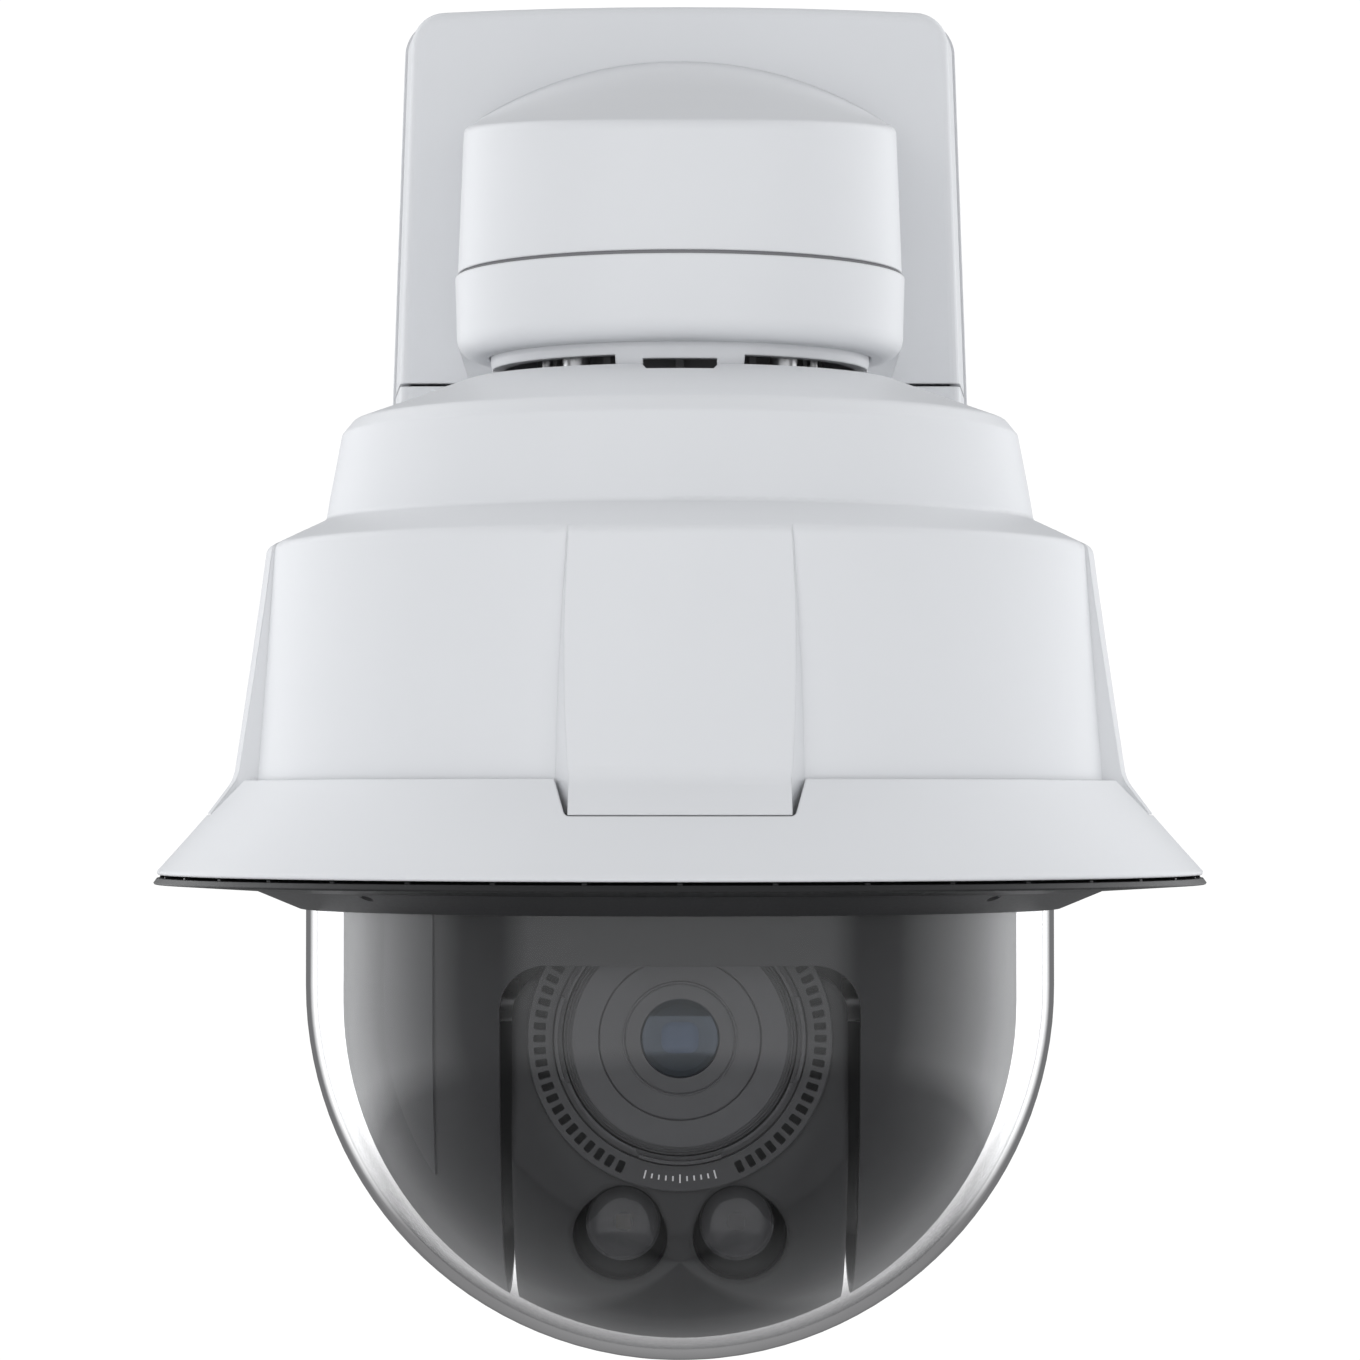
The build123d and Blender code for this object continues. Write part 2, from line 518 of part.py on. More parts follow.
def tilt_housing():
    belly = tilt_ball(TILT_R, TILT_HALF_WIDTH) & (FORWARD * Box(100, 200, 100, align=BASE))
    body = (belly + tilt_ball(TILT_REAR_R, TILT_HALF_WIDTH)) & side_profile()
    hollow = tilt_ball(TILT_R - 2.5, TILT_HALF_WIDTH - 2.5)
    room = FORWARD * Pos(0, 0, SHOULDER - WALL) * Box(100, 74, 90, align=REARWARD)
    room += FORWARD * Pos(0, -23, FACE - 7) * Box(100, 28, 60, align=REARWARD)
    body -= hollow & room & (Pos(0, -WALL, -2) * side_profile())
    body -= lens_bore(26.4, SHOULDER - WALL - 1, 80)
    body -= LENS * tube(33.2, 30.0, FACE - 4, FACE + 10)
    body -= face_shoulders()
    for side in (-1, 1):
        body -= FORWARD * Pos(side * RECESS_X, RECESS_UP, RECESS_BACK) * Cylinder(RECESS_R, 60, align=BASE)
        body -= FORWARD * Pos(side * LAMP_X, LAMP_UP, RECESS_BACK) * Cylinder(LAMP_R + 0.1, 60, align=BASE)
    return body


def lens_bezel():
    """Flat ring with a row of slots, left plain at its lowest part."""
    ring = turned([(BEZEL_R, FACE), (BEZEL_R, FACE + 1.4, 0.25), (28.5, FACE + 1.4, 0.2), (28.5, FACE)])
    outline = fillet(Rectangle(2.7, 1.6).vertices(), 0.4)
    slot = Pos(BEZEL_SLOT_R, 0, FACE - 1) * extrude(outline, 4)
    angles = [a for a in range(-90, 270, 5) if abs((a + 90 + 180) % 360 - 180) > 23]
    ring -= [Rot(0, 0, angle) * slot for angle in angles]
    return ring


def hood_ring():
    """Bayonet ring: four raised tabs, and a narrower bead between them."""
    ring = turned([(28.2, FACE), (28.2, FACE + 0.6), (27.2, FACE + 0.6), (27.2, FACE + 2.3), (26.5, FACE + 2.3),
                   (26.5, FACE)])
    tabs = tube(28.2, 27.4, FACE + 0.3, FACE + 2.9)
    for angle in (0, 90, 180, 270):
        place = Rot(0, 0, angle) * Pos(27.5, 0, 0)
        ring -= place * Pos(0, 0, FACE + 0.6) * Box(6, 19.6, 4, align=BASE)
        ring += tabs & (place * Pos(0, 0, FACE) * Box(6, 18.6, 4, align=BASE))
    return ring


def lens_barrel():
    """Tube that holds the lens groups, with a stepped collar at its front."""
    collar = turned([(26.2, FACE - 3), (26.2, FACE + 0.9, 0.15), (25.6, FACE + 0.9), (25.5, FACE + 1.5, 0.15),
                     (25.0, FACE + 1.5), (24.9, FACE + 2.0, 0.1), (BARREL_R, FACE + 2.0),
                     (BARREL_R, FACE - 3)])
    return tube(25, BARREL_R, -8, FACE - 1) + collar


def lens_front_ring():
    """Stepped front ring: flat outer face, fine groove, sunken inner face with a double bead."""
    top = FACE + 2.6
    return turned([(23.3, 60.4), (23.3, FACE + 2.1), (24.3, FACE + 2.1), (24.3, top, 0.2),
                   (18.35, top - 0.3, 0.1), (18.35, top - 1.2), (18.05, top - 1.2), (18.05, top - 0.5, 0.1),
                   (12.95, top - 1.0), (12.8, top - 0.7, 0.08), (12.5, top - 0.7, 0.08), (12.4, top - 1.1),
                   (12.1, top - 0.9, 0.08), (11.9, top - 0.9, 0.08), (8.9, top - 1.5, 0.1), (8.9, 52),
                   (12, 52)])


def tilt_unit():
    save("tilt_housing", tilt_housing())
    save("lens_bezel", LENS * lens_bezel())
    save("hood_ring", LENS * hood_ring())
    save("lens_barrel", LENS * lens_barrel())
    save("lens_front_ring", LENS * lens_front_ring())
    glass = Pos(0, 0, 43.2) * Sphere(21) & tube(8.85, 0, 60.8, 66)
    save("front_glass", LENS * glass)
    lamps = []
    covers = []
    for x in (-LAMP_X, LAMP_X):
        place = FORWARD * Pos(x, LAMP_UP, LAMP_BACK)
        lamps.append(place * (tube(LAMP_R, LAMP_R - 0.4, 2.5, 4.6) + tube(LAMP_R, 0, RECESS_BACK - LAMP_BACK, 2.5)))
        dome = Pos(0, 0, -6.5) * Sphere(14) & Cylinder(LAMP_R - 0.45, 8, align=BASE)
        covers.append(place * Pos(0, 0, 2.5) * dome)
    save("lamp_modules", lamps)
    save("lamp_lenses", covers)
    save("sensor_board", LENS * Pos(0, 0, -14) * Box(44, 44, 1.6, align=BASE))
    shafts = []
    for side in (-1, 1):
        stub = TILT_AXIS * (tube(5 - RUNNING, 0, 37.8, 55) if side > 0 else tube(5 - RUNNING, 0, -50, -37.8))
        shafts.append(stub)
    save("tilt_shafts", shafts)
    wheel = gear(TILT_TEETH, TILT_MODULE, 4, 5 - RUNNING)
    wheel = FORWARD * Rot(0, 90, 0) * Pos(0, 0, 50.2) * (Rot(0, 0, 90) * wheel)
    save("tilt_gear", wheel)
    turn = -90 + 180 / TILT_PINION_TEETH
    pinion = Rot(0, 0, turn) * gear(TILT_PINION_TEETH, TILT_MODULE, 4, 2)
    pinion += tube(2, 0, -0.2, 11)
    save("tilt_pinion", FORWARD * Rot(0, 90, 0) * Pos(0, 26, 50.2) * pinion)


def lens_groups():
    zoom = tube(BARREL_R - RUNNING, 16, 20, 34) + tube(16, 0, 24, 30)
    save("zoom_group", LENS * zoom)
    focus = tube(BARREL_R - RUNNING, 13, -2, 8) + tube(13, 0, 1, 6)
    save("focus_group", LENS * focus)
    save("ir_cut_filter", LENS * Pos(-4, 0, -7.5) * Box(28, 16, 1.2, align=BASE))


wall_bracket()
head()
top_cover()
weather_brim()
dome_parts()
camera_frame()
bearing()
pan_unit()
tilt_unit()
lens_groups()
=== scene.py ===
import json
import math

import bmesh
import bpy
from mathutils import Matrix, Vector


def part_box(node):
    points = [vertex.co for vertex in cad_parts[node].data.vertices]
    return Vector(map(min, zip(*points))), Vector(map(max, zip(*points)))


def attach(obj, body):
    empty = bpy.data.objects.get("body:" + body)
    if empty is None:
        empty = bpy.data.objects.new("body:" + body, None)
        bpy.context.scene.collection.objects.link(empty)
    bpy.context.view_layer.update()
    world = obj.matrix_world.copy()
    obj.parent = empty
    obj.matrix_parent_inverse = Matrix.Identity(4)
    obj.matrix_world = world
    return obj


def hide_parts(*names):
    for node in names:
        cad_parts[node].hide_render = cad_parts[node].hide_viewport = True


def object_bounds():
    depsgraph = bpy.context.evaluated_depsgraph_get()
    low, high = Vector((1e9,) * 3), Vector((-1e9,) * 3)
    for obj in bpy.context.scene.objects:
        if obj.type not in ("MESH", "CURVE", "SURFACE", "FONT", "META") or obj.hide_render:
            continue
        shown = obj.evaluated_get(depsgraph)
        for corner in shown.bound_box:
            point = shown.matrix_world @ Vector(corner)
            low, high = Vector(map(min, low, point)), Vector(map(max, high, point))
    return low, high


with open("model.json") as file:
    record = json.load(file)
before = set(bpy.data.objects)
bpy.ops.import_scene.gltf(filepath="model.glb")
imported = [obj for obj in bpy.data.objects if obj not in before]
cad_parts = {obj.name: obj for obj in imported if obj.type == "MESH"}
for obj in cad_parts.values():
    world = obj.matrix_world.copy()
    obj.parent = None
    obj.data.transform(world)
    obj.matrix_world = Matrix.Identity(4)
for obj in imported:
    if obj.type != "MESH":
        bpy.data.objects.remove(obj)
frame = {"nodes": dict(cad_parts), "record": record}
cad_low, cad_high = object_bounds()

MM = 0.001


def middle_of(node):
    """Centre of a node's box."""
    low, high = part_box(node)
    return (low + high) / 2


# Places and sizes that the pieces and the view are worked out from, read off the frame where it
# has them
DOME_R = 88.9 * MM
DOME_WALL = 2.5 * MM
FOOT_SHADE_STARTS = 30.0 * MM                              # below the dome's centre, where the painted shade at the dome's foot begins, and where it is full
FOOT_SHADE_FULL = 58.0 * MM                                # look grey, and where it is fully grey
SHELL_R = 80.0 * MM
DOME_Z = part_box("clear_dome")[0].z + DOME_R
AXIS_Y = middle_of("clear_dome").y                   # vertical axis of the camera body
BALL_Z = middle_of("tilt_bearings").z                # tilt axis, and centre of the pan shell
LENS_Z = middle_of("lens_bezel").z
FACE_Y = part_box("lens_bezel")[1].y                   # flat face that the bezel ring sits on
BEZEL_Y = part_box("lens_bezel")[0].y                  # front of the bezel ring
LAMP_X = 12.8 * MM
LAMP_Z = middle_of("lamp_modules").z
LAMP_SEAT = 52.5 * MM                                # top of the lamps' bases, in front of the axis
EYE_Z = -120.0 * MM                                  # eye level of the viewer
EYE_DISTANCE = 1100.0 * MM
LOOKS_UP = math.radians(1.566)


# Materials. Each is a small node tree: colour that drifts a little over broad patches, a fine grain
# that both roughness and bump follow, and softly rounded edges.

BROAD_SCALE = 14.0           # noise scale of the colour drift
ROUGHNESS_SPREAD = 0.06      # either way
LEAST_ROUGHNESS = 0.02
BEVEL_SAMPLES = 4


def new_tree(name):
    """New material with an empty node tree."""
    material = bpy.data.materials.new(name)
    material.use_nodes = True
    tree = material.node_tree
    tree.nodes.clear()
    return material, tree


def add(tree, kind, settings=None, **inputs):
    """New node, with its settings by name and its input values by socket name."""
    made = tree.nodes.new(kind)
    for key, value in (settings or {}).items():
        setattr(made, key, value)
    for key, value in inputs.items():
        made.inputs[key.replace("_", " ")].default_value = value
    return made


def noise_of(tree, scale, detail=2.0, squeeze=(1, 1, 1)):
    """Noise fixed to the object, and squeezed along its axes by these factors."""
    place = add(tree, "ShaderNodeTexCoord")
    mapping = add(tree, "ShaderNodeMapping", Scale=squeeze)
    noise = add(tree, "ShaderNodeTexNoise", Scale=scale, Detail=detail)
    tree.links.new(place.outputs["Object"], mapping.inputs["Vector"])
    tree.links.new(mapping.outputs["Vector"], noise.inputs["Vector"])
    return noise


def ramp_between(tree, source, low, high, start=0.3, end=0.7):
    """Colour that runs from low to high while the source runs from start to end."""
    ramp = add(tree, "ShaderNodeValToRGB")
    ramp.color_ramp.elements[0].position = start
    ramp.color_ramp.elements[1].position = end
    ramp.color_ramp.elements[0].color = (*low, 1)
    ramp.color_ramp.elements[1].color = (*high, 1)
    tree.links.new(source, ramp.inputs["Fac"])
    return ramp.outputs["Color"]


def math_node(tree, operation, first, second=0.0):
    """Result of a calculation on one or two values, each a socket or a number."""
    made = add(tree, "ShaderNodeMath", {"operation": operation})
    for socket, value in zip(made.inputs, (first, second)):
        if isinstance(value, (int, float)):
            socket.default_value = value
        else:
            tree.links.new(value, socket)
    return made.outputs["Value"]


def mix_colours(tree, share, low, high):
    """Blend of two colours, each a socket or three numbers."""
    mix = add(tree, "ShaderNodeMix", {"data_type": "RGBA"})
    tree.links.new(share, mix.inputs["Factor"])
    for socket, value in zip(mix.inputs[6:8], (low, high)):    # A and B of its colour sockets
        if isinstance(value, tuple):
            socket.default_value = (*value, 1)
        else:
            tree.links.new(value, socket)
    return mix.outputs[2]                                      # its colour result


def soft_normal(tree, edge, grain_noise, grain_depth, strength):
    """Normal with rounded edges and a fine bump."""
    bump = add(tree, "ShaderNodeBump", Strength=strength, Distance=grain_depth)
    tree.links.new(grain_noise.outputs["Fac"], bump.inputs["Height"])
    if edge > 0:
        bevel = add(tree, "ShaderNodeBevel", {"samples": BEVEL_SAMPLES}, Radius=edge)
        tree.links.new(bevel.outputs["Normal"], bump.inputs["Normal"])
    return bump.outputs["Normal"]


def solid_finish(name, colour, roughness, drift=0.03, metallic=0.0, grain=900.0, depth=0.02 * MM,
                 strength=0.2, edge=0.35 * MM, squeeze=(1, 1, 1), specular=0.5):
    """A moulded, painted or machined surface."""
    material, tree = new_tree(name)
    output = add(tree, "ShaderNodeOutputMaterial")
    shader = add(tree, "ShaderNodeBsdfPrincipled", Metallic=metallic)
    shader.inputs["Specular IOR Level"].default_value = specular
    broad = noise_of(tree, BROAD_SCALE, 3.0)
    low = tuple(max(0.0, c * (1 - drift)) for c in colour)
    high = tuple(min(1.0, c * (1 + drift)) for c in colour)
    tree.links.new(ramp_between(tree, broad.outputs["Fac"], low, high), shader.inputs["Base Color"])
    fine = noise_of(tree, grain, 2.0, squeeze)
    spread = add(tree, "ShaderNodeMapRange")
    spread.inputs["To Min"].default_value = max(LEAST_ROUGHNESS, roughness - ROUGHNESS_SPREAD)
    spread.inputs["To Max"].default_value = min(1.0, roughness + ROUGHNESS_SPREAD)
    tree.links.new(fine.outputs["Fac"], spread.inputs["Value"])
    tree.links.new(spread.outputs["Result"], shader.inputs["Roughness"])
    normal = soft_normal(tree, edge, fine, depth, strength)
    tree.links.new(normal, shader.inputs["Normal"])
    tree.links.new(shader.outputs["BSDF"], output.inputs["Surface"])
    return material


def front_only(tree, source):
    """A factor that is kept on the outside of a surface and is nought from inside the material."""
    inside = add(tree, "ShaderNodeNewGeometry").outputs["Backfacing"]
    return math_node(tree, "MULTIPLY", source, math_node(tree, "SUBTRACT", 1.0, inside))


def mix_surfaces(tree, share, first, second):
    """The surface is two shaders mixed by the second one's share, a socket or a number."""
    mix = add(tree, "ShaderNodeMixShader")
    if isinstance(share, float):
        mix.inputs["Fac"].default_value = share
    else:
        tree.links.new(share, mix.inputs["Fac"])
    tree.links.new(first.outputs["BSDF"], mix.inputs[1])
    tree.links.new(second.outputs["BSDF"], mix.inputs[2])
    output = add(tree, "ShaderNodeOutputMaterial")
    tree.links.new(mix.outputs["Shader"], output.inputs["Surface"])


def distance_from_dome_centre(tree, offset):
    """Distance from the centre below it, and from the vertical axis above it."""
    parts = add(tree, "ShaderNodeSeparateXYZ")
    tree.links.new(offset, parts.inputs["Vector"])
    joined = add(tree, "ShaderNodeCombineXYZ")
    tree.links.new(parts.outputs["X"], joined.inputs["X"])
    tree.links.new(parts.outputs["Y"], joined.inputs["Y"])
    tree.links.new(math_node(tree, "MINIMUM", parts.outputs["Z"], 0.0), joined.inputs["Z"])
    distance = add(tree, "ShaderNodeVectorMath", {"operation": "LENGTH"})
    tree.links.new(joined.outputs["Vector"], distance.inputs[0])
    return distance.outputs["Value"], parts.outputs["Z"]


def dome_rim_painted_shade(tree):
    """Painted shade in the light through the dome's outer surface: dark at the rim, more broadly at
    the foot.
    """
    facing = add(tree, "ShaderNodeLayerWeight", Blend=0.5).outputs["Facing"]
    # Painted shade: a dark grey line at the rim where the surface turns away, and a broader grey at
    # the foot below the centre
    clear, rim_shade_colour, grey = (0.99, 0.99, 0.992), (0.36, 0.36, 0.37), (0.40, 0.395, 0.40)
    rim_shade = ramp_between(tree, facing, clear, rim_shade_colour, 0.78, 0.86)
    foot = ramp_between(tree, facing, clear, grey, 0.56, 0.76)
    offset = add(tree, "ShaderNodeVectorMath", {"operation": "SUBTRACT"})
    tree.links.new(add(tree, "ShaderNodeTexCoord").outputs["Object"], offset.inputs[0])
    offset.inputs[1].default_value = (0, AXIS_Y, DOME_Z)
    distance, height = distance_from_dome_centre(tree, offset.outputs["Vector"])
    outer = math_node(tree, "GREATER_THAN", distance, DOME_R - DOME_WALL / 2)
    depth = add(tree, "ShaderNodeMapRange")
    depth.inputs["From Min"].default_value = -FOOT_SHADE_STARTS
    depth.inputs["From Max"].default_value = -FOOT_SHADE_FULL
    tree.links.new(height, depth.inputs["Value"])
    painted_shade = mix_colours(tree, depth.outputs["Result"], rim_shade, foot)
    return mix_colours(tree, outer, clear, painted_shade)


def dome_finish():
    """Thin clear polycarbonate: light goes straight through, and the surface mirrors softly."""
    material, tree = new_tree("clear_polycarbonate")
    through = add(tree, "ShaderNodeBsdfTransparent")
    # The light through the dome carries the painted shade at its rim and foot
    tree.links.new(dome_rim_painted_shade(tree), through.inputs["Color"])
    haze = noise_of(tree, 30.0, 3.0)
    gloss = add(tree, "ShaderNodeBsdfGlossy", Roughness=0.03)
    tree.links.new(ramp_between(tree, haze.outputs["Fac"], (0.92, 0.92, 0.92), (1, 1, 1)),
                   gloss.inputs["Color"])
    fresnel = add(tree, "ShaderNodeFresnel", IOR=1.585)
    mix_surfaces(tree, front_only(tree, fresnel.outputs["Fac"]), through, gloss)
    return material


def lens_glass(name, tint, coating):
    """Coated glass element: clear face on, coloured and mirroring towards its edge."""
    material, tree = new_tree(name)
    through = add(tree, "ShaderNodeBsdfTransparent", Color=(*tint, 1))
    gloss = add(tree, "ShaderNodeBsdfGlossy", Roughness=0.05)
    drift = noise_of(tree, 60.0, 2.0)
    brighter = tuple(min(1, c * 1.1) for c in coating)
    sheen = ramp_between(tree, drift.outputs["Fac"], coating, brighter)
    tree.links.new(sheen, gloss.inputs["Color"])
    facing = add(tree, "ShaderNodeLayerWeight", Blend=0.4)
    share = add(tree, "ShaderNodeMapRange")
    share.inputs["To Min"].default_value = 0.05
    share.inputs["To Max"].default_value = 0.5
    tree.links.new(facing.outputs["Facing"], share.inputs["Value"])
    mix_surfaces(tree, front_only(tree, share.outputs["Result"]), through, gloss)
    return material


def smoked_cover():
    """Smoked polycarbonate of the lamp lenses: a grey body that lets a little light through."""
    material, tree = new_tree("smoked_polycarbonate")
    body = add(tree, "ShaderNodeBsdfPrincipled", Roughness=0.1)
    drift = noise_of(tree, 120.0, 3.0)
    darker, paler = (0.040, 0.040, 0.042), (0.048, 0.048, 0.050)
    grey = ramp_between(tree, drift.outputs["Fac"], darker, paler)
    tree.links.new(grey, body.inputs["Base Color"])
    through = add(tree, "ShaderNodeBsdfTransparent", Color=(0.80, 0.80, 0.82, 1))
    mix_surfaces(tree, 0.12, body, through)
    return material


def board_finish():
    """Green solder mask with a pattern of pale pads."""
    material, tree = new_tree("circuit_board")
    output = add(tree, "ShaderNodeOutputMaterial")
    shader = add(tree, "ShaderNodeBsdfPrincipled", Roughness=0.35)
    place = add(tree, "ShaderNodeTexCoord")
    cells = add(tree, "ShaderNodeTexVoronoi", {"distance": "CHEBYCHEV"}, Scale=260.0)
    tree.links.new(place.outputs["Object"], cells.inputs["Vector"])
    pale_gold, green = (0.55, 0.52, 0.40), (0.015, 0.12, 0.05)
    pads = ramp_between(tree, cells.outputs["Distance"], pale_gold, green, 0.12, 0.16)
    tree.links.new(pads, shader.inputs["Base Color"])
    tree.links.new(shader.outputs["BSDF"], output.inputs["Surface"])
    return material


def moulded(name, grey, roughness=0.42, **details):
    """Dark moulded plastic, very slightly blue."""
    return solid_finish(name, (grey, grey, grey * 1.05), roughness, 0.05, grain=1500.0,
                        depth=0.006 * MM, strength=0.06, specular=0.25, **details)


def metal(name, colour, roughness, drift, **details):
    """Bare metal with a fine shallow grain."""
    return solid_finish(name, colour, roughness, drift, metallic=1.0, depth=0.01 * MM, **details)


WHITE = (0.706, 0.716, 0.735)
finishes = {
    "white_paint": solid_finish("white_powder_coat", WHITE, 0.45, 0.010, grain=1100.0,
                                strength=0.15, edge=0.7 * MM, specular=0.35),
    "grey_casting": solid_finish("grey_casting", (0.20, 0.20, 0.205), 0.55, 0.06, grain=700.0,
                                 depth=0.05 * MM, strength=0.5),
    "rubber": solid_finish("black_rubber", (0.025, 0.025, 0.027), 0.75, 0.1, grain=1500.0,
                           strength=0.5),
    "steel": metal("bright_steel", (0.62, 0.62, 0.63), 0.3, 0.04, grain=500.0, strength=0.3,
                   edge=0.15 * MM, squeeze=(1, 1, 12)),
    "black_steel": metal("black_oxide_steel", (0.05, 0.05, 0.052), 0.35, 0.05, grain=600.0,
                         edge=0.1 * MM),
    "black_plastic": moulded("black_plastic", 0.014, 0.5),
    "dark_plastic": moulded("dark_grey_plastic", 0.030),
    "clear_dome": dome_finish(),
    "optical_glass": lens_glass("coated_glass", (0.82, 0.86, 0.92), (0.70, 0.80, 1.0)),
    "circuit_board": board_finish(),
    "aluminium": metal("machined_aluminium", (0.66, 0.67, 0.68), 0.35, 0.04, grain=420.0,
                       strength=0.4, edge=0.2 * MM, squeeze=(1, 1, 8)),
    "gear_plastic": solid_finish("natural_acetal", (0.70, 0.68, 0.62), 0.4, 0.03),
    "brass": metal("turned_brass", (0.72, 0.53, 0.24), 0.28, 0.05, grain=420.0, strength=0.3,
                   edge=0.1 * MM, squeeze=(1, 1, 10)),
}
special = {
    "lens_front_ring": moulded("lens_ring_plastic", 0.068, 0.5, edge=0.15 * MM),
    "lens_barrel": moulded("lens_barrel_plastic", 0.040, 0.45, edge=0.12 * MM),
    "hood_ring": moulded("hood_ring_plastic", 0.052, 0.4, edge=0.15 * MM),
    "lens_bezel": moulded("bezel_plastic", 0.042, 0.45, edge=0.2 * MM),
    "tilt_housing": moulded("tilt_housing_plastic", 0.026, 0.5, edge=2.5 * MM),
    "lamp_modules": moulded("lamp_module_plastic", 0.014, 0.5),
    "head_gasket": solid_finish("grey_rubber", (0.20, 0.20, 0.21), 0.7, 0.1, grain=1500.0,
                                strength=0.3),
    "trim_ring": moulded("trim_ring_plastic", 0.018),
    "lamp_lenses": smoked_cover(),
}


def set_finish(shown, material):
    """Give an object this one material."""
    shown.data.materials.clear()
    shown.data.materials.append(material)


def dress_cad_nodes():
    """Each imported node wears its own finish, or that of its material slot."""
    for part in frame["record"]["subparts"]:
        finish = special.get(part["node"], finishes[part["material_slot"]])
        set_finish(frame["nodes"][part["node"]], finish)


# Mesh pieces. Each shape is made in its own plane, then placed.

MERGE_WITHIN = 0.002 * MM
SHARP_ABOVE = math.radians(40)

# Looking out of the lens: local x to the right of the viewer, y up, z towards the front
OUT_OF_LENS = Matrix(((1, 0, 0, 0), (0, 0, -1, AXIS_Y), (0, 1, 0, LENS_Z), (0, 0, 0, 1)))


def finish_piece(name, shape, material, body, place=None):
    """Turn a bmesh into a smooth-shaded object that rides on a body."""
    mesh = bpy.data.meshes.new(name)
    bmesh.ops.remove_doubles(shape, verts=shape.verts, dist=MERGE_WITHIN)
    bmesh.ops.recalc_face_normals(shape, faces=shape.faces)
    shape.to_mesh(mesh)
    shape.free()
    if place is not None:
        mesh.transform(place)
    mesh.polygons.foreach_set("use_smooth", [True] * len(mesh.polygons))
    mesh.set_sharp_from_angle(angle=SHARP_ABOVE)
    piece = bpy.data.objects.new(name, mesh)
    bpy.context.scene.collection.objects.link(piece)
    mesh.materials.append(material)
    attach(piece, body)
    return piece


def join_rings(shape, rings, closed=True):
    """Quads between rings of the same number of points, with both ends capped if it's closed."""
    made = [[shape.verts.new(point) for point in ring] for ring in rings]
    for near, far in zip(made, made[1:]):
        for k in range(len(near)):
            following = (k + 1) % len(near)
            shape.faces.new((near[k], near[following], far[following], far[k]))
    if closed:
        shape.faces.new(made[0])
        shape.faces.new(made[-1])


def circle(radius, height, steps=96, centre=(0, 0)):
    """Points of a level circle."""
    angles = [2 * math.pi * k / steps for k in range(steps)]
    return [(centre[0] + radius * math.cos(a), centre[1] + radius * math.sin(a), height)
            for a in angles]


def rounded_rectangle(half_x, half_y, corner, height, steps=8):
    """Points of a rectangle with round corners at a height."""
    points = []
    for quarter, (sx, sy) in enumerate(((1, 1), (-1, 1), (-1, -1), (1, -1))):
        for k in range(steps + 1):
            angle = math.pi / 2 * (quarter + k / steps)
            points.append((sx * (half_x - corner) + corner * math.cos(angle),
                           sy * (half_y - corner) + corner * math.sin(angle), height))
    return points


def front_depth(y):
    """Distance of a place in front of the camera's vertical axis."""
    return AXIS_Y - y


def inner_lens():
    """Cell of the rear element behind the front glass, with its rounded rectangular field stop."""
    sunk = 1.4 * MM
    top = front_depth(FACE_Y) - sunk
    cell = bmesh.new()
    profile = ((8.8, -2.4), (8.8, 0.0), (8.3, -0.1), (7.7, -0.8), (7.3, -1.0), (0.1, -1.2))
    join_rings(cell, [circle(radius * MM, top + height * MM) for radius, height in profile])
    material = solid_finish("blackened_cell", (0.030, 0.035, 0.032), 0.4, 0.08, grain=2000.0,
                            depth=0.01 * MM, edge=0)
    finish_piece("rear_element_cell", cell, material, "tilt", OUT_OF_LENS)
    stop = bmesh.new()
    outlines = ((4.2, 3.5, 2.3, -1.1), (4.2, 3.5, 2.3, -0.85),
                (3.8, 3.1, 2.1, -0.6), (2.7, 2.1, 1.4, -0.5))
    join_rings(stop, [rounded_rectangle(half_x * MM, half_y * MM, corner * MM, top + height * MM)
                      for half_x, half_y, corner, height in outlines])
    blue = solid_finish("blue_coating", (0.050, 0.072, 0.108), 0.25, 0.12, grain=900.0,
                        depth=0.005 * MM, edge=0)
    finish_piece("field_stop_glass", stop, blue, "tilt", OUT_OF_LENS)


def index_ticks():
    """Plain tick marks at the foot of the bezel ring, with every fifth one long."""
    count, pitch, middle_r = 11, math.radians(2.9), 31.4 * MM
    long_half, short_half, half_width = 0.95 * MM, 0.55 * MM, 0.17 * MM
    sunk, proud = 0.05 * MM, 0.04 * MM
    shape = bmesh.new()
    level = front_depth(BEZEL_Y)
    for k in range(count):
        step = k - count // 2
        half = long_half if step % 5 == 0 else short_half
        angle = -math.pi / 2 + step * pitch
        along = Vector((math.cos(angle), math.sin(angle), 0))
        across = Vector((-along.y, along.x, 0)) * half_width
        corners = []
        for lengthwise, sideways in ((-1, -1), (1, -1), (1, 1), (-1, 1)):
            corners.append(along * (middle_r + lengthwise * half) + across * sideways)
        join_rings(shape, [[corner + Vector((0, 0, height)) for corner in corners]
                           for height in (level - sunk, level + proud)])
    ink = solid_finish("pale_ink", (0.50, 0.50, 0.51), 0.5, 0.05, edge=0)
    finish_piece("index_ticks", shape, ink, "tilt", OUT_OF_LENS)


